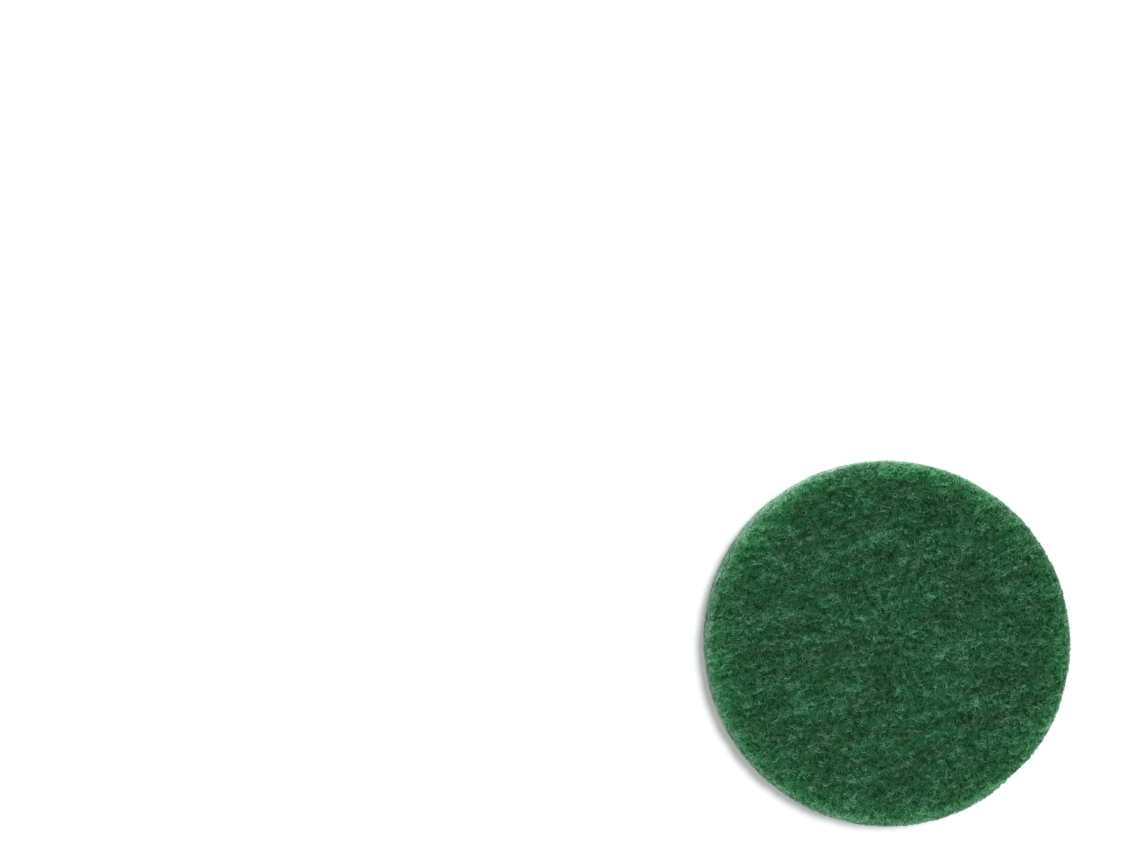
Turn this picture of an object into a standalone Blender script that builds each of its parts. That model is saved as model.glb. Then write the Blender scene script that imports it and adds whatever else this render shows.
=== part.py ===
"""A round scrubbing pad for a small floor machine, as a Blender script in metres with +Z up.

The real pad is one piece. Crimped nylon fibres are laid into a thick sheet, sprayed with resin
and grit, pressed between rollers while the resin cures, and cut to a disc by a round die.
The origin is on the pad's axis, in the plane of the face that lies on the floor.
The web was laid roughly along X, and rises a little towards +Y on its way to +X.
"""

import math

import bmesh
import bpy

# The disc that the die cuts
PAD_DIAMETER = 0.200
PAD_THICKNESS = 0.012
EDGE_ROUND = 0.0016

# The cut wanders a little inwards, this many times in half a turn and by amounts that swell and
# fade this many times. It touches the full diameter on both axes, and one short stretch of it,
# square to its bearing, runs straight.
CUT_WANDER = 0.00025
WANDER_WAVES = 8
WANDER_SWELLS = 3
FLAT_DEPTH = 0.0011
FLAT_BEARING = math.radians(-47.5)

# Hollows of the web between the lands that the rollers pressed level. They come from two waves:
# bands along the lay that sway from side to side, and a second wave that crosses them.
HOLLOW_DEPTH = 0.0006
BAND_WIDTH = 0.013
BAND_LENGTH = 0.040
BAND_SWAY = math.radians(75)
CROSSING_WIDTH = 0.021
CROSSING_LENGTH = 0.031
LAY_BEARING = math.radians(12)
UNDERSIDE_SHIFT = math.radians(137)

# The middle of each face stays level this far out, where the drive plate centres on it.
LEVEL_RADIUS = 0.012
LEVEL_FADE = 0.014

# How finely the disc is divided. An even number of rings puts a point of the rim on each axis.
FACE_RINGS = 26
ROUND_STEPS = 2

WEB_GREEN = (0.0222, 0.0844, 0.0382, 1.0)
WEB_ROUGHNESS = 0.85


def clear_scene():
    """Remove every object that the file opened with."""
    for old in list(bpy.data.objects):
        bpy.data.objects.remove(old)


def web_material():
    """Resin-coated green nylon: matt, with no metal in it."""
    material = bpy.data.materials.new("green_web")
    material.use_nodes = True
    shader = material.node_tree.nodes["Principled BSDF"]
    shader.inputs["Base Color"].default_value = WEB_GREEN
    shader.inputs["Roughness"].default_value = WEB_ROUGHNESS
    shader.inputs["Metallic"].default_value = 0.0
    return material


def cut_radius(bearing):
    """Radius of the die's cut on one bearing.

    The wander is a square, so it only ever cuts inwards. The flat is a straight chord, whose
    radius is its distance from the axis over the cosine of the turn away from its bearing.
    """
    wander = (math.sin(WANDER_WAVES * bearing) * math.cos(WANDER_SWELLS * bearing)) ** 2
    radius = PAD_DIAMETER / 2 - CUT_WANDER * wander
    off_flat = math.cos(bearing - FLAT_BEARING)
    if off_flat > 0:
        radius = min(radius, (PAD_DIAMETER / 2 - FLAT_DEPTH) / off_flat)
    return radius


def hollow_depth(x, y, shift):
    """How far the web lies below its lands at a place: the mean of the two waves where it is up.

    The hollows fade out towards the level middle, and shift moves them along for the other face.
    """
    along = 2 * math.pi * (x * math.cos(LAY_BEARING) + y * math.sin(LAY_BEARING))
    across = 2 * math.pi * (y * math.cos(LAY_BEARING) - x * math.sin(LAY_BEARING))
    bands = math.sin(across / BAND_WIDTH + BAND_SWAY * math.sin(along / BAND_LENGTH + shift))
    crossing = math.sin(across / CROSSING_WIDTH - along / CROSSING_LENGTH + 2 * shift)
    fade = min(1.0, max(0.0, (math.hypot(x, y) - LEVEL_RADIUS) / LEVEL_FADE))
    return HOLLOW_DEPTH * fade * max(0.0, (bands + crossing) / 2)


def flat_disc():
    """A disc of radius 1: a fan of six triangles is cut into rings, and each ring is made round.

    A hexagon's side is nearest its middle halfway along, so a point's distance out is measured
    square to the side, and its share of the way along the side becomes its share of the bearing.
    """
    mesh = bmesh.new()
    bmesh.ops.create_circle(mesh, cap_ends=True, cap_tris=True, segments=6, radius=1.0)
    bmesh.ops.subdivide_edges(mesh, edges=mesh.edges[:], cuts=FACE_RINGS - 1, use_grid_fill=True)
    first_corner = math.radians(90)
    sextant = math.radians(60)
    for vert in mesh.verts:
        turned = math.atan2(vert.co.y, vert.co.x) - first_corner
        side = math.floor(turned / sextant)
        off_middle = turned - (side + 0.5) * sextant
        reach = vert.co.length * math.cos(off_middle) / math.cos(sextant / 2)
        share = 0.5 + 0.5 * math.tan(off_middle) / math.tan(sextant / 2)
        bearing = first_corner + (side + share) * sextant
        vert.co = (reach * math.cos(bearing), reach * math.sin(bearing), 0.0)
    return mesh


def scrub_pad(material):
    """The disc of web: two faces with hollows, joined by the die-cut edge with its rounded rims."""
    mesh = flat_disc()
    raised = bmesh.ops.extrude_face_region(mesh, geom=mesh.faces[:], use_keep_orig=True)
    for item in raised["geom"]:
        if isinstance(item, bmesh.types.BMVert):
            item.co.z = 1.0
    uprights = [edge for edge in mesh.edges if abs(edge.verts[0].co.z - edge.verts[1].co.z) > 0.5]
    edge_rows = 2 * ROUND_STEPS + 1
    bmesh.ops.subdivide_edges(mesh, edges=uprights, cuts=edge_rows - 1, use_grid_fill=True)

    for vert in mesh.verts:
        bearing = math.atan2(vert.co.y, vert.co.x)
        reach = vert.co.xy.length * (cut_radius(bearing) - EDGE_ROUND)
        x, y = reach * math.cos(bearing), reach * math.sin(bearing)
        # Rows of the edge count up from the lower face. Those near a face turn a quarter circle.
        row = round(vert.co.z * edge_rows)
        turn = math.radians(90) * min(row, edge_rows - row) / ROUND_STEPS
        reach += EDGE_ROUND * math.sin(turn)
        rounding = EDGE_ROUND * (1 - math.cos(turn))
        if row > ROUND_STEPS:
            height = PAD_THICKNESS - hollow_depth(x, y, 0.0) - rounding
        else:
            height = hollow_depth(x, y, UNDERSIDE_SHIFT) + rounding
        vert.co = (reach * math.cos(bearing), reach * math.sin(bearing), height)

    bmesh.ops.triangulate(mesh, faces=mesh.faces[:])
    bmesh.ops.recalc_face_normals(mesh, faces=mesh.faces[:])
    data = bpy.data.meshes.new("scrub_pad")
    mesh.to_mesh(data)
    mesh.free()
    data.shade_smooth()
    data.materials.append(material)
    pad = bpy.data.objects.new("scrub_pad", data)
    bpy.context.scene.collection.objects.link(pad)
    return pad


clear_scene()
scrub_pad(web_material())
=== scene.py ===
import math

import bmesh
import bpy
import numpy as np
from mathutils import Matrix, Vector


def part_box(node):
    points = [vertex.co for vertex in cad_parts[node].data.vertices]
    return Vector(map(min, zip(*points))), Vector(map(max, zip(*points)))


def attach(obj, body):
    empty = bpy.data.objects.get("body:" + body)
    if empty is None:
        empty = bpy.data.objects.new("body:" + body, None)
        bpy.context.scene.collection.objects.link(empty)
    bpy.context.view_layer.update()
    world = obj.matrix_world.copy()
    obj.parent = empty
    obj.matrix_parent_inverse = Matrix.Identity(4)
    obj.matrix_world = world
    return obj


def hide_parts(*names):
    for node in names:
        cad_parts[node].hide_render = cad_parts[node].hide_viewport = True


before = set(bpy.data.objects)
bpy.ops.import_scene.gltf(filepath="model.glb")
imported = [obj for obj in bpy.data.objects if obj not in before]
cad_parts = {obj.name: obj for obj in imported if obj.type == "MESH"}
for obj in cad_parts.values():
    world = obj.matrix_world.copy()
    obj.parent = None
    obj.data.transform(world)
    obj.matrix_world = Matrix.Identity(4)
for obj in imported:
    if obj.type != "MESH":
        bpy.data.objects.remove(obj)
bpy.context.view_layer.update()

# The inner web
# The real pad is one thick sheet of crimped nylon fibres, bonded where they cross and cut to a
# disc. Under the fibres that lie on top it is a tangle full of pores, made here as one closed
# padded body whose dark greens are painted shade of the deep web, with the fibres of its surface
# laid on it further down.
low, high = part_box("scrub_pad")
PAD_RADIUS = (high.x - low.x) / 2
PAD_THICKNESS = high.z - low.z
EDGE_ROUND = 0.0016

# The die's cut wanders a little inwards, in waves that swell and fade, and runs straight on one
# short flat. Beyond FLAT_REACH from its bearing, the flat's chord is far outside the pad.
CUT_WANDER = 0.00025
WANDER_WAVES = 8
WANDER_SWELLS = 3
FLAT_DEPTH = 0.0011
FLAT_BEARING = math.radians(-47.5)
FLAT_REACH = math.radians(60)


def cut_radius(bearing):
    """Radius of the die's cut: the full radius, less a squared product of two waves, or, on the
    short flat, the chord's distance over the cosine of the turn away from its bearing."""
    wander = (np.sin(WANDER_WAVES * bearing) * np.cos(WANDER_SWELLS * bearing)) ** 2
    off_flat = np.maximum(np.cos(bearing - FLAT_BEARING), math.cos(FLAT_REACH))
    return np.minimum(PAD_RADIUS - CUT_WANDER * wander, (PAD_RADIUS - FLAT_DEPTH) / off_flat)


# Hollows of the faces, between the lands that the rollers pressed level: bands along the lay
# that sway from side to side, and a second wave across them. They fade out towards the middle.
LAY_BEARING = math.radians(12)
HOLLOW_DEPTH = 0.0006
BAND_WIDTH = 0.013
BAND_LENGTH = 0.040
BAND_SWAY = math.radians(75)
CROSSING_WIDTH = 0.021
CROSSING_LENGTH = 0.031
LEVEL_RADIUS = 0.012
LEVEL_FADE = 0.014
UNDERSIDE_SHIFT = math.radians(137)


def hollow_depth(x, y, shift):
    """How far the web lies below the faces' lands: the mean of two waves where it is positive."""
    along = 2 * math.pi * (x * math.cos(LAY_BEARING) + y * math.sin(LAY_BEARING))
    across = 2 * math.pi * (y * math.cos(LAY_BEARING) - x * math.sin(LAY_BEARING))
    bands = np.sin(across / BAND_WIDTH + BAND_SWAY * np.sin(along / BAND_LENGTH + shift))
    crossing = np.sin(across / CROSSING_WIDTH - along / CROSSING_LENGTH + 2 * shift)
    fade = np.clip((np.hypot(x, y) - LEVEL_RADIUS) / LEVEL_FADE, 0, 1)
    return HOLLOW_DEPTH * fade * np.maximum(0, (bands + crossing) / 2)


# A flat round sheet covers one half of the pad: its face, its rounded rim and half of its wall.
HALF_WALL = PAD_THICKNESS / 2 - EDGE_ROUND
RIM_ARC = EDGE_ROUND * math.pi / 2
SHEET_RADIUS = PAD_RADIUS - EDGE_ROUND + RIM_ARC + HALF_WALL


def wrap(sheet, lift, face):
    """Points of the flat sheet wrapped over one half of the pad.

    A sheet point is as far along the surface from the axis as it is from the sheet's middle:
    first over the face, then round the rim's quarter circle, then down half of the wall.
    face is 1 for the upper half and -1 for the lower, and lift moves a point straight out.
    """
    reach = np.hypot(sheet[..., 0], sheet[..., 1])
    bearing = np.arctan2(sheet[..., 1], sheet[..., 0])
    level = cut_radius(bearing) - EDGE_ROUND
    turn = np.clip((reach - level) / EDGE_ROUND, 0, math.pi / 2)
    down = np.maximum(reach - level - RIM_ARC, 0)
    inner = np.minimum(reach, level)
    out = inner + (EDGE_ROUND + lift) * np.sin(turn)
    shift = 0.0 if face > 0 else UNDERSIDE_SHIFT
    fall = hollow_depth(inner * np.cos(bearing), inner * np.sin(bearing), shift)
    fall = fall * np.clip(1 - down / HALF_WALL, 0, 1)
    height = HALF_WALL + (EDGE_ROUND + lift) * np.cos(turn) - down - fall
    height = PAD_THICKNESS / 2 + face * height
    return np.stack([out * np.cos(bearing), out * np.sin(bearing), height], -1)


# The threads lie about one bearing, and the web's openings are drawn out along it. The openings
# come from random fields, and lie where both are further than OPEN_FROM from zero.
THREAD_BEARING = math.radians(17)
LAY_STRETCH = 2.8
PORE_SPACING = 0.0050
SPACING_SPREAD = (0.7, 1.4)
FIELD_WAVES = 28
FIELD_SEEDS = (11, 12)
OPEN_FROM = 0.45


def tangle(points, seed):
    """A smooth random field over points in space: a sum of plane waves of like lengths, whose
    directions are random and squeezed along the lay, scaled to a spread of 1."""
    draw = np.random.default_rng(seed)
    directions = draw.normal(size=(FIELD_WAVES, 3))
    directions /= np.linalg.norm(directions, axis=1)[:, None]
    lay = np.array([math.cos(THREAD_BEARING), math.sin(THREAD_BEARING), 0.0])
    directions -= np.outer(directions @ lay, lay) * (1 - 1 / LAY_STRETCH)
    lengths = PORE_SPACING * draw.uniform(*SPACING_SPREAD, (FIELD_WAVES, 1))
    turns = 2 * math.pi * directions / lengths
    phases = draw.uniform(0, 2 * math.pi, FIELD_WAVES)
    return np.sin(points @ turns.T + phases).sum(-1) * math.sqrt(2 / FIELD_WAVES)


def openness(place):
    """How open the web is at places in the pad, from 0 to 1: for each of two random fields, 1
    less a bell curve of the field, and the product of both. So the web stands along the curves
    where either field is zero, and is open where both are far from it."""
    opening = np.ones(len(place))
    for seed in FIELD_SEEDS:
        opening *= 1 - np.exp(-((tangle(place, seed) / OPEN_FROM) ** 2))
    return opening


def square_to_disc(steps):
    """A square grid pressed into a disc of radius 1: each square ring becomes a circle, and a
    point's share of the way along its side becomes its share of that quarter turn."""
    line = np.linspace(-1, 1, steps + 1)
    x, y = np.meshgrid(line, line, indexing="ij")
    ring = np.maximum(np.abs(x), np.abs(y))
    safe = np.where(ring == 0, 1, ring)
    side_on = np.abs(x) >= np.abs(y)
    quarter = math.pi / 4 * np.where(side_on, y / safe * np.sign(x), x / safe * np.sign(y))
    east = np.stack([np.cos(quarter), np.sin(quarter)], -1) * (ring * np.sign(x))[..., None]
    north = np.stack([np.sin(quarter), np.cos(quarter)], -1) * (ring * np.sign(y))[..., None]
    return np.where(side_on[..., None], east, north), np.stack([x, y], -1)


# The body lies just under the surface, and its pores go deeper. Its two halves lie side by side
# on its map, the upper one on the left.
CORE_STEPS = 168
CORE_SINK = 0.0005
PORE_DEPTH = 0.0011
HALF_MAP_SIZE = (0.48, 0.98)
HALF_MAP_MIDDLE = {1: (0.25, 0.5), -1: (0.75, 0.5)}


def inner_web():
    """Two discs of the sheet, one for each half, wrapped over the pad and joined along mid-wall.
    The pores sink where the web is open."""
    disc, square = square_to_disc(CORE_STEPS)
    side = CORE_STEPS + 1
    sheet = disc.reshape(-1, 2) * SHEET_RADIUS
    tile = (square.reshape(-1, 2) + 1) / 2
    upper = np.arange(side * side).reshape(side, side)
    lower = upper + side * side
    points, maps = [], []
    for face in (1, -1):
        sink = CORE_SINK + PORE_DEPTH * openness(wrap(sheet, 0.0, face))
        points.append(wrap(sheet, -sink, face))
        maps.append((tile - 0.5) * HALF_MAP_SIZE + HALF_MAP_MIDDLE[face])
    points, maps = np.concatenate(points), np.concatenate(maps)
    quads = []
    for index in (upper, lower[:, ::-1]):
        ring = [index[:-1, :-1], index[1:, :-1], index[1:, 1:], index[:-1, 1:]]
        quads.append(np.stack(ring, -1).reshape(-1, 4))
    quads = np.concatenate(quads)
    corner_map = maps[quads.ravel()]
    rim = np.ones((side, side), bool)
    rim[1:-1, 1:-1] = False
    merged = np.arange(2 * side * side)
    merged[lower[rim]] = upper[rim]
    used, compact = np.unique(merged[quads], return_inverse=True)
    return points[used], compact.reshape(-1, 4), corner_map


def node(tree, kind, inputs=None, **options):
    """Adds one shader node, sets its options, and sets or links its inputs by name or number."""
    made = tree.nodes.new(kind)
    for name, value in options.items():
        setattr(made, name, value)
    for name, value in (inputs or {}).items():
        if isinstance(value, bpy.types.NodeSocket):
            tree.links.new(value, made.inputs[name])
        else:
            made.inputs[name].default_value = value
    return made


def maths(tree, operation, *values, clamp=False):
    """One Math node's result."""
    inputs = dict(enumerate(values))
    return node(tree, "ShaderNodeMath", inputs, operation=operation, use_clamp=clamp).outputs[0]


def vectors(tree, operation, *values, output="Vector"):
    """One Vector Math node's result."""
    inputs = dict(enumerate(values))
    return node(tree, "ShaderNodeVectorMath", inputs, operation=operation).outputs[output]


def ramp(tree, value, start, end, first=0.0, last=1.0, smooth=True):
    """A value carried from the range start-end to first-last, and held at its ends."""
    kind = "SMOOTHSTEP" if smooth else "LINEAR"
    inputs = {"Value": value, "From Min": start, "From Max": end, "To Min": first, "To Max": last}
    return node(tree, "ShaderNodeMapRange", inputs, interpolation_type=kind).outputs["Result"]


def mix(tree, share, first, second, blend="MIX", clamp=False):
    """Two colours mixed."""
    inputs = {0: share, 6: first, 7: second}
    options = dict(data_type="RGBA", blend_type=blend, clamp_result=clamp)
    return node(tree, "ShaderNodeMix", inputs, **options).outputs[2]


# Marks in the web's green, drawn by noise that is stretched to swing from about -1 to 1. A size
# is that of the noise, and a stretch is how much longer the mark is along the lay.
NOISE_LOW, NOISE_HIGH = 0.25, 0.75
PATCH_SIZE = 0.012
PATCH_SWING = 0.4
STREAK_SIZE = 0.0046
SPECK_SIZE = 0.0026
SPECK_STRETCH = 1.3
# The pores are painted shade: full at the first value and gone at the second.
PORE_SHADE_SIZE = 0.0024
PORE_SHADE_FULL, PORE_SHADE_CLEAR = -0.56, -0.26
BROAD_SIZE = 0.0058
BROAD_STRETCH = 4.0
BROAD_SHARE = 0.15

# Shade darkens the three channels by these powers, so that light from deep in the web comes out
# greener.
DARKEST = 0.2
SHADE_POWERS = (1.8, 1.0, 1.45)

# The rim's painted light and the cut wall begin at these shares of the radius. A gain adds more
# painted light to the upright wall, and the rim is painted lighter still towards one bearing.
RIM_LIGHT_START = 0.795
RIM_LIGHT_FULL = 1.0
RIM_LIGHT_UNEVEN = 0.003
RIM_LIGHT_POWER = 2.2
WALL_START = 0.952
WALL_CALM = 0.60
WALL_LIGHT_GAIN = 0.30
# Painted light on one side of the rim: its bearing, its gain, and where it fades out.
LIT_SIDE_BEARING = math.radians(98)
LIT_SIDE_GAIN = 0.45
LIT_SIDE_FADE = 0.35

# Fibres that lie deeper show as a net: the edges of cells of two sizes, bent by noise. A line is
# full up to the first share of a cell and gone at the second.
NET_SIZES = (0.0034, 0.0021)
NET_LINE, NET_FADE = 0.02, 0.26
NET_BEND = 0.004
NET_BENDS_PER_METRE = 350.0


def laid_web_group():
    """The colour of the web, from the place in the pad alone.

    Two greens lie in patches. Streaks, specks and broader bands, all drawn out along the lay,
    lighten and darken them, and small pores are darker still with painted shade. Towards the rim
    they clear to a brighter green, which is painted light, most of all on one side, which is
    painted light too. The cut wall, where the threads show their bare ends, is pale and more
    even, and painted light makes its upright part paler still. Net is the mesh of deeper fibres,
    and Edge is how near the cut wall is, both from 0 to 1.
    """
    tree = bpy.data.node_groups.new("laid_web", "ShaderNodeTree")
    for name in ("Olive", "Teal", "Lit Rim", "Wall"):
        tree.interface.new_socket(name, in_out="INPUT", socket_type="NodeSocketColor")
    for name in ("Streaks", "Specks", "Pore Shade"):
        tree.interface.new_socket(name, in_out="INPUT", socket_type="NodeSocketFloat")
    tree.interface.new_socket("Colour", in_out="OUTPUT", socket_type="NodeSocketColor")
    for name in ("Net", "Edge"):
        tree.interface.new_socket(name, in_out="OUTPUT", socket_type="NodeSocketFloat")
    given = tree.nodes.new("NodeGroupInput").outputs

    place = node(tree, "ShaderNodeTexCoord").outputs["Object"]
    to_lay = {"Vector": place, "Rotation": (0, 0, -THREAD_BEARING)}
    turned = node(tree, "ShaderNodeMapping", to_lay).outputs[0]

    def swing(size, stretch, detail=1.0, distortion=0.0):
        """Noise of one size, drawn out along the lay, that runs from about -1 to 1."""
        laid = node(tree, "ShaderNodeMapping", {"Vector": turned, "Scale": (1 / stretch, 1, 1)})
        inputs = {"Vector": laid.outputs[0], "Scale": 1 / size}
        inputs.update({"Detail": detail, "Distortion": distortion})
        noise = node(tree, "ShaderNodeTexNoise", inputs).outputs["Fac"]
        return ramp(tree, noise, NOISE_LOW, NOISE_HIGH, -1.0, 1.0, smooth=False)

    patches = ramp(tree, swing(PATCH_SIZE, LAY_STRETCH, detail=3.0), -PATCH_SWING, PATCH_SWING)
    greens = mix(tree, patches, given["Olive"], given["Teal"])
    flat = vectors(tree, "MULTIPLY", place, (1, 1, 0))
    reach = vectors(tree, "LENGTH", flat, output="Value")
    uneven = maths(tree, "MULTIPLY_ADD", patches, RIM_LIGHT_UNEVEN, reach)
    inset = RIM_LIGHT_UNEVEN / 2
    starts, full = RIM_LIGHT_START * PAD_RADIUS + inset, RIM_LIGHT_FULL * PAD_RADIUS + inset
    # Painted light: towards the rim the web clears to the brighter rim green.
    rim = maths(tree, "POWER", ramp(tree, uneven, starts, full, smooth=False), RIM_LIGHT_POWER)
    wall = ramp(tree, reach, WALL_START * PAD_RADIUS, PAD_RADIUS, smooth=False)
    colour = mix(tree, rim, greens, given["Lit Rim"])
    colour = mix(tree, wall, colour, given["Wall"])

    calm = maths(tree, "MULTIPLY_ADD", wall, -WALL_CALM, 1.0)
    streaks = maths(tree, "MULTIPLY", swing(STREAK_SIZE, LAY_STRETCH), calm)
    specks = maths(tree, "MULTIPLY", swing(SPECK_SIZE, SPECK_STRETCH, distortion=0.5), calm)
    # Small dark pores, painted shade where the web is open.
    pore_shade = swing(PORE_SHADE_SIZE, SPECK_STRETCH, distortion=0.4)
    pore_shade = maths(tree, "MULTIPLY", ramp(tree, pore_shade, PORE_SHADE_FULL, PORE_SHADE_CLEAR, 1.0, 0.0), calm)
    broad = swing(BROAD_SIZE, BROAD_STRETCH, detail=0.0)
    broad = maths(tree, "MULTIPLY_ADD", broad, BROAD_SHARE, 1.0)
    shade = maths(tree, "MULTIPLY_ADD", streaks, given["Streaks"], 1.0)
    shade = maths(tree, "MULTIPLY_ADD", specks, given["Specks"], shade)
    kept = maths(tree, "MULTIPLY_ADD", maths(tree, "MULTIPLY", pore_shade, given["Pore Shade"]), -1.0, 1.0)
    shade = maths(tree, "MULTIPLY", maths(tree, "MAXIMUM", shade, DARKEST), kept)

    # Painted light: the rim is lighter towards one side.
    lit_side = (math.cos(LIT_SIDE_BEARING) / PAD_RADIUS, math.sin(LIT_SIDE_BEARING) / PAD_RADIUS, 0)
    side = vectors(tree, "DOT_PRODUCT", place, lit_side, output="Value")
    side = ramp(tree, side, LIT_SIDE_FADE, 1.0, 0.0, LIT_SIDE_GAIN)
    side = maths(tree, "MULTIPLY_ADD", side, rim, 1.0)
    # Painted light: the upright part of the cut wall is lightened further.
    height = node(tree, "ShaderNodeSeparateXYZ", {"Vector": place}).outputs["Z"]
    height = maths(tree, "ABSOLUTE", maths(tree, "SUBTRACT", height, PAD_THICKNESS / 2))
    cut_starts, cut_full = HALF_WALL + EDGE_ROUND / 2, HALF_WALL - EDGE_ROUND / 4
    cut = ramp(tree, height, cut_starts, cut_full, 0.0, WALL_LIGHT_GAIN)
    cut = maths(tree, "MULTIPLY_ADD", cut, wall, 1.0)
    # The painted light of one side and of the upright wall, times the broad bands.
    pale = maths(tree, "MULTIPLY", maths(tree, "MULTIPLY", side, cut), broad)
    shades = [maths(tree, "POWER", shade, power) for power in SHADE_POWERS]
    tints = [maths(tree, "MULTIPLY", channel, pale) for channel in shades]
    tint = node(tree, "ShaderNodeCombineXYZ", dict(enumerate(tints))).outputs[0]
    colour = mix(tree, 1.0, colour, tint, "MULTIPLY", clamp=True)

    bend = {"Vector": place, "Scale": NET_BENDS_PER_METRE, "Detail": 1.0}
    bend = node(tree, "ShaderNodeTexNoise", bend).outputs["Color"]
    bend = vectors(tree, "SUBTRACT", bend, (0.5, 0.5, 0.5))
    bent = vectors(tree, "MULTIPLY_ADD", bend, (NET_BEND, NET_BEND, NET_BEND), turned)
    net = None
    for size in NET_SIZES:
        cells = {"Vector": bent, "Scale": 1 / size}
        cells = node(tree, "ShaderNodeTexVoronoi", cells, feature="DISTANCE_TO_EDGE")
        line = ramp(tree, cells.outputs["Distance"], NET_LINE, NET_FADE, 1.0, 0.0)
        net = line if net is None else maths(tree, "MAXIMUM", net, line)
    out = tree.nodes.new("NodeGroupOutput")
    tree.links.new(colour, out.inputs["Colour"])
    tree.links.new(net, out.inputs["Net"])
    tree.links.new(wall, out.inputs["Edge"])
    return tree


laid_web = laid_web_group()
WEB_SHINE = 0.04


def web_material(name, olive, teal, rim, wall, streaks, specks, pores, roughness):
    """A matt green that follows the laid web, with the web's colour and net for further nodes."""
    material = bpy.data.materials.new(name)
    material.use_nodes = True
    tree = material.node_tree
    shader = tree.nodes["Principled BSDF"]
    web = node(tree, "ShaderNodeGroup", node_tree=laid_web)
    for socket, value in (("Olive", olive), ("Teal", teal), ("Lit Rim", rim), ("Wall", wall)):
        web.inputs[socket].default_value = value
    for socket, value in (("Streaks", streaks), ("Specks", specks), ("Pore Shade", pores)):
        web.inputs[socket].default_value = value
    tree.links.new(web.outputs["Colour"], shader.inputs["Base Color"])
    shader.inputs["Roughness"].default_value = roughness
    shader.inputs["Specular IOR Level"].default_value = WEB_SHINE
    return material, shader, web


# The body's greens, dark with painted shade of the deep web and lighter at the rim with painted
# light, and what the net of deeper fibres adds to them, in colour and in relief.
CORE_SHADED_GREENS = dict(
    olive=(0.0062, 0.0495, 0.0153, 1.0), teal=(0.0051, 0.0586, 0.0201, 1.0),
    rim=(0.0239, 0.1707, 0.0554, 1.0), wall=(0.036, 0.128, 0.062, 1.0),
    streaks=0.27, specks=0.42, pores=0.55, roughness=0.85,
)
DEEP_FIBRE = (0.042, 0.130, 0.060, 1.0)
DEEP_WALL_FIBRE = (0.200, 0.490, 0.300, 1.0)
DEEP_FIBRE_SHARE = 0.4
NET_RELIEF = {"Strength": 0.5, "Distance": 0.0006}


def core_material():
    """The inner web: dark between its fibres with painted shade, lighter and raised along the net
    of them.
    """
    material, shader, web = web_material("inner_web", **CORE_SHADED_GREENS)
    tree = material.node_tree
    share = maths(tree, "MULTIPLY", web.outputs["Net"], DEEP_FIBRE_SHARE)
    deep = mix(tree, web.outputs["Edge"], DEEP_FIBRE, DEEP_WALL_FIBRE)
    colour = mix(tree, share, web.outputs["Colour"], deep, "ADD")
    tree.links.new(colour, shader.inputs["Base Color"])
    bump = node(tree, "ShaderNodeBump", {"Height": web.outputs["Net"], **NET_RELIEF})
    tree.links.new(bump.outputs["Normal"], shader.inputs["Normal"])
    return material


def new_piece(name, points, face_sets, corner_map, material):
    """A smooth mesh object. Each face set is an array of equal faces, and corner_map gives each of
    their corners, in order, its place on the map."""
    mesh = bpy.data.meshes.new(name)
    corners = np.concatenate([faces.ravel() for faces in face_sets])
    sizes = np.concatenate([np.full(len(faces), faces.shape[1]) for faces in face_sets])
    mesh.vertices.add(len(points))
    mesh.vertices.foreach_set("co", points.astype(np.float32).ravel())
    mesh.loops.add(len(corners))
    mesh.loops.foreach_set("vertex_index", corners.astype(np.int32))
    mesh.polygons.add(len(sizes))
    mesh.polygons.foreach_set("loop_start", (np.cumsum(sizes) - sizes).astype(np.int32))
    mesh.update(calc_edges=True)
    layer = mesh.uv_layers.new(name="OFBake")
    layer.data.foreach_set("uv", corner_map.astype(np.float32).ravel())
    mesh.shade_smooth()
    mesh.materials.append(material)
    piece = bpy.data.objects.new(name, mesh)
    bpy.context.scene.collection.objects.link(piece)
    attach(piece, "root")
    return piece


core_points, core_faces, core_map = inner_web()
core = new_piece("inner_web", core_points, [core_faces], core_map, core_material())
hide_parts("scrub_pad")


# The fibres of the two faces
# Crimped nylon threads, coated with resin and grit, run loosely along the lay. They wave from
# side to side and dive into the web at both ends. Those near the rim bend down the cut wall, and
# those underneath are pressed in a little by the pad's weight.
FIBRE_THICKNESS = 0.00048
THICKNESS_SPREAD = (0.7, 1.3)
FIBRE_SIDES = 3
FIBRE_BEND = math.radians(30)
CRIMP_LENGTH = 0.0038
CRIMP_LENGTH_SPREAD = (0.75, 1.35)
CRIMP_SWING = math.radians(45)
CRIMP_SWING_SPREAD = (0.5, 1.2)
FACE_FIBRE_LENGTH = 0.0044
FACE_FIBRE_SPREAD = (0.6, 1.4)
FACE_FIBRE_STEPS = 5


def sheet_map(sheet):
    """The map of a piece that is made on the sheet is the sheet itself, with a margin."""
    return (sheet / (SHEET_RADIUS + FACE_FIBRE_LENGTH) + 1) / 2


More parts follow.
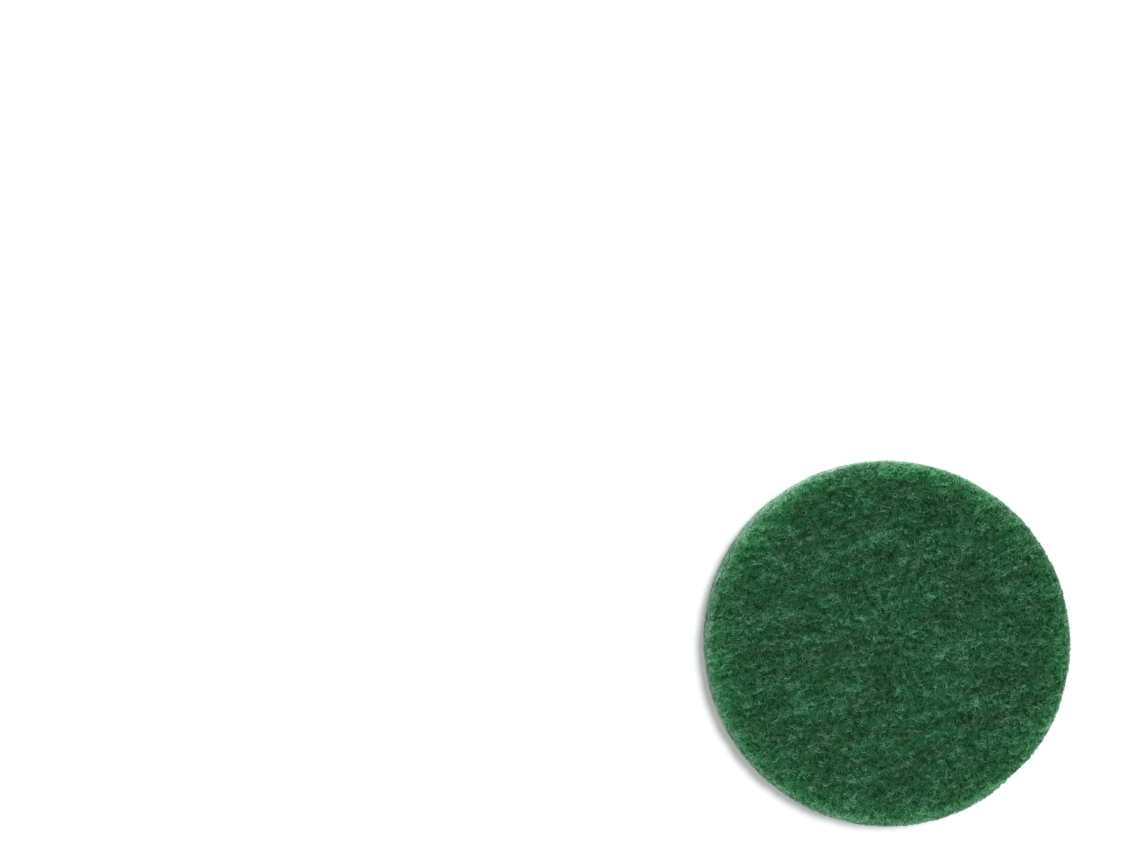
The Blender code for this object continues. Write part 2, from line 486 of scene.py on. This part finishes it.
def threads(draw, middle, heading, length, steps, swing, rise, face):
    """Closed three-sided threads on one half of the pad, as arguments for new_piece.

    A thread's heading is its own, plus a steady bend and the crimp's sine, and its path adds up
    short steps along that heading. rise gives each point's height over the sheet. The threads
    are made on the flat sheet and then wrapped over the pad, and the sheet is also their map.
    """
    count = len(middle)
    share = np.linspace(-1, 1, steps + 1)[None, :]
    along = share * length / 2
    crimp = CRIMP_LENGTH * draw.uniform(*CRIMP_LENGTH_SPREAD, (count, 1))
    phase = draw.uniform(0, 2 * math.pi, (count, 1))
    heading = heading + FIBRE_BEND * draw.normal(0, 1, (count, 1)) * share
    swing = swing * draw.uniform(*CRIMP_SWING_SPREAD, (count, 1))
    heading = heading + swing * np.sin(2 * math.pi * along / crimp + phase)
    step = np.stack([np.cos(heading), np.sin(heading)], -1) * (length / steps)[..., None]
    path = np.cumsum(step, 1)
    half = steps // 2
    path += middle[:, None, :] - path[:, half:half + 1, :]
    sideways = np.stack([-np.sin(heading), np.cos(heading)], -1)
    radius = FIBRE_THICKNESS / 2 * draw.uniform(*THICKNESS_SPREAD, (count, 1))
    points, sheets = [], []
    for corner in range(FIBRE_SIDES):
        angle = math.pi / 2 + 2 * math.pi * corner / FIBRE_SIDES
        sheets.append(path + sideways * (radius * math.cos(angle))[..., None])
        points.append(wrap(sheets[-1], rise + radius * math.sin(angle), face))
    points, sheets = np.stack(points, 2).reshape(-1, 3), np.stack(sheets, 2).reshape(-1, 2)
    index = np.arange(len(points)).reshape(count, steps + 1, FIBRE_SIDES)
    index = index if face > 0 else index[:, :, ::-1]
    following = np.roll(index, -1, axis=2)
    sides = np.stack([index[:, :-1], following[:, :-1], following[:, 1:], index[:, 1:]], -1)
    sides = sides.reshape(-1, 4)
    ends = np.concatenate([index[:, 0, ::-1], index[:, -1, :]])
    corners = np.concatenate([sides.ravel(), ends.ravel()])
    return points, [sides, ends], sheet_map(sheets[corners])


def scattered(draw, count):
    """Random places, spread evenly over the sheet."""
    reach = SHEET_RADIUS * np.sqrt(draw.uniform(0, 1, count))
    bearing = draw.uniform(0, 2 * math.pi, count)
    return np.stack([reach * np.cos(bearing), reach * np.sin(bearing)], -1)


# How far threads turn from the lay, rise and fall on their way, and dive at their ends. They are
# chosen out of this many times as many places, by how close the web is there and by chance.
LAY_SPREAD = math.radians(46)
LEVEL_SPREAD = 0.00040
RISE_SWING = 0.00028
RISE_LENGTH = 0.0045
END_DIVE = 0.0013
THREAD_CHOICE = 2
THREAD_STRAY = 0.5


def face_fibres(count, level, face, seed):
    """Threads scattered over the sheet, each laid at random about the lay. Most keep to the
    places where the web is close, and leave its pores open."""
    draw = np.random.default_rng(seed)
    middle = scattered(draw, THREAD_CHOICE * count)
    order = openness(wrap(middle, 0.0, face)) + THREAD_STRAY * draw.uniform(0, 1, len(middle))
    middle = middle[np.argsort(order)[:count]]
    heading = THREAD_BEARING + draw.normal(0, LAY_SPREAD, (count, 1))
    length = FACE_FIBRE_LENGTH * draw.uniform(*FACE_FIBRE_SPREAD, (count, 1))
    share = np.linspace(-1, 1, FACE_FIBRE_STEPS + 1)[None, :]
    level = level + draw.uniform(-LEVEL_SPREAD / 2, LEVEL_SPREAD / 2, (count, 1))
    phase = draw.uniform(0, 2 * math.pi, (count, 1))
    wave = RISE_SWING * np.sin(math.pi * share * length / RISE_LENGTH + phase)
    rise = level + wave - END_DIVE * share ** 4
    return threads(draw, middle, heading, length, FACE_FIBRE_STEPS, CRIMP_SWING, rise, face)


# The threads come in four tones, from those that lie deepest, darker as painted shade, to the
# few with most resin on them, whose paleness is partly resin and partly a painted highlight.
TONES = {
    "deep": dict(
        olive=(0.037, 0.131, 0.058, 1), teal=(0.038, 0.181, 0.079, 1), rim=(0.068, 0.343, 0.119, 1),
        wall=(0.152, 0.325, 0.213, 1), pores=0.60, roughness=0.75,
    ),
    "middle": dict(
        olive=(0.070, 0.193, 0.104, 1), teal=(0.073, 0.256, 0.134, 1), rim=(0.106, 0.420, 0.171, 1),
        wall=(0.205, 0.410, 0.276, 1), pores=0.55, roughness=0.65,
    ),
    "light": dict(
        olive=(0.078, 0.210, 0.115, 1), teal=(0.081, 0.275, 0.146, 1), rim=(0.111, 0.426, 0.176, 1),
        wall=(0.228, 0.438, 0.300, 1), pores=0.50, roughness=0.65,
    ),
    "pale": dict(
        olive=(0.099, 0.239, 0.135, 1), teal=(0.110, 0.304, 0.173, 1), rim=(0.133, 0.454, 0.205, 1),
        wall=(0.289, 0.508, 0.371, 1), pores=0.25, roughness=0.55,
    ),
}
FIBRE_MARKS = dict(streaks=0.27, specks=0.45)
UPPER_COUNTS = {"deep": 5850, "middle": 5850, "light": 4800, "pale": 1860}
LEVELS = {"deep": -0.00050, "middle": -0.00032, "light": -0.00018, "pale": -0.00010}
LOWER_COUNT = 600
LOWER_PRESS = 0.0004
coats = {}
for number, (tone, greens) in enumerate(TONES.items()):
    coats[tone] = web_material(f"{tone}_fibre", **greens, **FIBRE_MARKS)[0]
    upper_fibres = face_fibres(UPPER_COUNTS[tone], LEVELS[tone], face=1, seed=100 + number)
    lower_fibres = face_fibres(LOWER_COUNT, LEVELS[tone] - LOWER_PRESS, face=-1, seed=200 + number)
    new_piece(f"upper_fibres_{tone}", *upper_fibres, coats[tone])
    new_piece(f"lower_fibres_{tone}", *lower_fibres, coats[tone])


# The beads of resin
# Where the threads touch, the sprayed resin has gathered and cured into small beads with grit in
# them. The largest show as pale specks among the threads, a millimetre across or less.
BEAD_SIZE = 0.0009
BEAD_SIZE_SPREAD = (0.6, 1.2)
BEAD_SQUEEZE = (0.7, 1.3)
BEAD_LOWEST = -0.00035
BEAD_HIGHEST = 0.00010
UPPER_BEADS = 800
LOWER_BEADS = 300
ball = bmesh.new()
bmesh.ops.create_icosphere(ball, subdivisions=1, radius=0.5)
BALL_POINTS = np.array([vert.co for vert in ball.verts])
BALL_FACES = np.array([[vert.index for vert in side.verts] for side in ball.faces])
ball.free()


def beads(count, face, seed):
    """Small balls scattered over the sheet, each drawn out and squeezed a little on every axis."""
    draw = np.random.default_rng(seed)
    middle = scattered(draw, count)
    sizes = BEAD_SIZE * draw.uniform(*BEAD_SIZE_SPREAD, (count, 1, 1))
    balls = BALL_POINTS * (sizes * draw.uniform(*BEAD_SQUEEZE, (count, 1, 3)))
    lift = draw.uniform(BEAD_LOWEST, BEAD_HIGHEST, count) - (LOWER_PRESS if face < 0 else 0.0)
    centres = wrap(middle, lift, face)
    sheets = (middle[:, None, :] + balls[..., :2]).reshape(-1, 2)
    faces = (BALL_FACES + len(BALL_POINTS) * np.arange(count)[:, None, None]).reshape(-1, 3)
    points = (centres[:, None, :] + balls).reshape(-1, 3)
    return points, [faces], sheet_map(sheets[faces.ravel()])


new_piece("upper_beads", *beads(UPPER_BEADS, face=1, seed=400), coats["pale"])
new_piece("lower_beads", *beads(LOWER_BEADS, face=-1, seed=401), coats["pale"])


# The fibres of the cut edge
# Where the die cut through the sheet, its plies show from the side: threads that run along the
# wall, and between them the cut ends of others, which stand out of it by less than a millimetre.
EDGE_FIBRE_LENGTH = 0.0068
EDGE_FIBRE_SPREAD = (0.7, 1.3)
EDGE_FIBRE_STEPS = 8
EDGE_FIBRE_INSET = 0.0015
EDGE_SWING = math.radians(38)
EDGE_SPREAD = math.radians(24)
EDGE_LOWEST = -0.0005
EDGE_HIGHEST = -0.0001
EDGE_COUNTS = {"upper": 1150, "lower": 1900}
STUB_LENGTH = 0.0014
STUB_SPREAD = (0.5, 1.3)
STUB_STEPS = 3
STUB_INSET = 0.0030
STUB_ROOT = 0.0010
STUB_TIP = 0.0003
STUB_COUNT = 1100


def edge_middles(draw, count, inset):
    """Random places on the half wall and on the rim as far in as inset, and their bearings."""
    reach = draw.uniform(SHEET_RADIUS - HALF_WALL - RIM_ARC - inset, SHEET_RADIUS, count)
    bearing = draw.uniform(0, 2 * math.pi, count)
    return np.stack([reach * np.cos(bearing), reach * np.sin(bearing)], -1), bearing[:, None]


def edge_fibres(count, face, seed):
    """Threads along the wall, each turned at random about its length, that dive at both ends."""
    draw = np.random.default_rng(seed)
    middle, bearing = edge_middles(draw, count, EDGE_FIBRE_INSET)
    heading = bearing + math.pi / 2 + draw.normal(0, EDGE_SPREAD, (count, 1))
    length = EDGE_FIBRE_LENGTH * draw.uniform(*EDGE_FIBRE_SPREAD, (count, 1))
    share = np.linspace(-1, 1, EDGE_FIBRE_STEPS + 1)[None, :]
    rise = draw.uniform(EDGE_LOWEST, EDGE_HIGHEST, (count, 1)) - END_DIVE * share ** 4
    return threads(draw, middle, heading, length, EDGE_FIBRE_STEPS, EDGE_SWING, rise, face)


def edge_stubs(count, face, seed):
    """Short ends without a crimp that lean out of the wall in every direction, from their roots
    in the web to their tips just outside it."""
    draw = np.random.default_rng(seed)
    middle, bearing = edge_middles(draw, count, STUB_INSET)
    heading = draw.uniform(0, 2 * math.pi, (count, 1))
    length = STUB_LENGTH * draw.uniform(*STUB_SPREAD, (count, 1))
    share = np.linspace(0, 1, STUB_STEPS + 1)[None, :]
    rise = -STUB_ROOT + (STUB_ROOT + draw.uniform(0.0, STUB_TIP, (count, 1))) * share
    return threads(draw, middle, heading, length, STUB_STEPS, 0.0, rise, face)


# The cut ends have no resin on them, so they are the palest, and at the rim and on the upright
# wall painted light makes them paler still.
BARE_GREENS = dict(
    olive=(0.102, 0.239, 0.135, 1), teal=(0.109, 0.303, 0.173, 1), rim=(0.150, 0.475, 0.232, 1),
    wall=(0.350, 0.582, 0.430, 1), pores=0.10, roughness=0.55,
)
bare_coat = web_material("bare_fibre", **BARE_GREENS, **FIBRE_MARKS)[0]
for face, half in ((1, "upper"), (-1, "lower")):
    for number, tone in enumerate(("middle", "pale")):
        wall_fibres = edge_fibres(EDGE_COUNTS[half] // 2, face, seed=300 + 10 * number + face)
        new_piece(f"{half}_edge_{tone}", *wall_fibres, coats[tone])
    stubs = edge_stubs(STUB_COUNT, face, seed=320 + face)
    new_piece(f"{half}_edge_stubs", *stubs, bare_coat)


# The floor
# A plain white floor that the pad lies on. It glows a little where it is looked at, so that it
# stays as white as the room around it and keeps only the pad's shadow.
FLOOR_HALF = 3.0
FLOOR_WHITE = (0.9, 0.9, 0.9, 1)
FLOOR_GLOW = 0.16
floor_mesh = bpy.data.meshes.new("floor")
floor_mesh.from_pydata(
    [(-FLOOR_HALF, -FLOOR_HALF, 0), (FLOOR_HALF, -FLOOR_HALF, 0), (FLOOR_HALF, FLOOR_HALF, 0),
     (-FLOOR_HALF, FLOOR_HALF, 0)], [], [(0, 1, 2, 3)],
)
floor = bpy.data.objects.new("floor", floor_mesh)
bpy.context.scene.collection.objects.link(floor)


def looked_at(tree):
    """1 for rays from the eye, also by way of a shine or through glass, and 0 for the light that
    goes from one thing to another."""
    rays = node(tree, "ShaderNodeLightPath").outputs
    seen = maths(tree, "ADD", rays["Is Camera Ray"], rays["Is Glossy Ray"], clamp=True)
    return maths(tree, "ADD", seen, rays["Is Transmission Ray"], clamp=True)


white = bpy.data.materials.new("white_floor")
white.use_nodes = True
tree = white.node_tree
tree.nodes.remove(tree.nodes["Principled BSDF"])
glow = maths(tree, "MULTIPLY", looked_at(tree), FLOOR_GLOW)
matt = node(tree, "ShaderNodeBsdfDiffuse", {"Color": FLOOR_WHITE}).outputs[0]
glow = node(tree, "ShaderNodeEmission", {"Strength": glow}).outputs[0]
both = node(tree, "ShaderNodeAddShader", {0: matt, 1: glow}).outputs[0]
tree.links.new(both, tree.nodes["Material Output"].inputs["Surface"])
floor_mesh.materials.append(white)

# The light
# One soft lamp high on the upper right gives most of it, with a shadow to the lower left, and an
# even white room gives the rest. The room is pure white where it is looked at.
LAMP_BEARING = math.radians(51)
LAMP_HEIGHT = math.radians(63)
LAMP_WIDTH = math.radians(22)
LAMP_SHARE = 0.62
lamp_light = bpy.data.lights.new("key", "SUN")
lamp_light.energy = LAMP_SHARE * math.pi / math.sin(LAMP_HEIGHT)
lamp_light.angle = LAMP_WIDTH
lamp = bpy.data.objects.new("key", lamp_light)
outwards = math.cos(LAMP_HEIGHT)
to_lamp = Vector((
    outwards * math.cos(LAMP_BEARING), outwards * math.sin(LAMP_BEARING), math.sin(LAMP_HEIGHT)
))
lamp.rotation_euler = to_lamp.to_track_quat("Z", "Y").to_euler()
bpy.context.scene.collection.objects.link(lamp)

room = bpy.data.worlds.new("room")
bpy.context.scene.world = room
room.use_nodes = True
tree = room.node_tree
strength = ramp(tree, looked_at(tree), 0.0, 1.0, 1 - LAMP_SHARE, 1.0, smooth=False)
tree.links.new(strength, tree.nodes["Background"].inputs["Strength"])
tree.nodes["Background"].inputs["Color"].default_value = (1, 1, 1, 1)

# The camera
# It looks straight down, as the photograph does. The pad's place and radius in the photograph's
# pixels put it at the lower right of the frame, at the same size.
PHOTO_WIDTH, PHOTO_HEIGHT = 1123, 868
PAD_CENTRE_PX = (888.5, 644.3)
PAD_RADIUS_PX = 183.1
LENS_MM, SENSOR_MM = 40.0, 36.0
metres_per_px = PAD_RADIUS / PAD_RADIUS_PX
camera_data = bpy.data.cameras.new("camera")
camera_data.lens = LENS_MM
camera_data.sensor_width = SENSOR_MM
camera = bpy.data.objects.new("camera", camera_data)
distance = metres_per_px * PHOTO_WIDTH * LENS_MM / SENSOR_MM
camera.location = (
    -(PAD_CENTRE_PX[0] - PHOTO_WIDTH / 2) * metres_per_px,
    (PAD_CENTRE_PX[1] - PHOTO_HEIGHT / 2) * metres_per_px,
    PAD_THICKNESS + distance,
)
bpy.context.scene.collection.objects.link(camera)
bpy.context.scene.camera = camera
bpy.context.scene.view_settings.view_transform = "Standard"
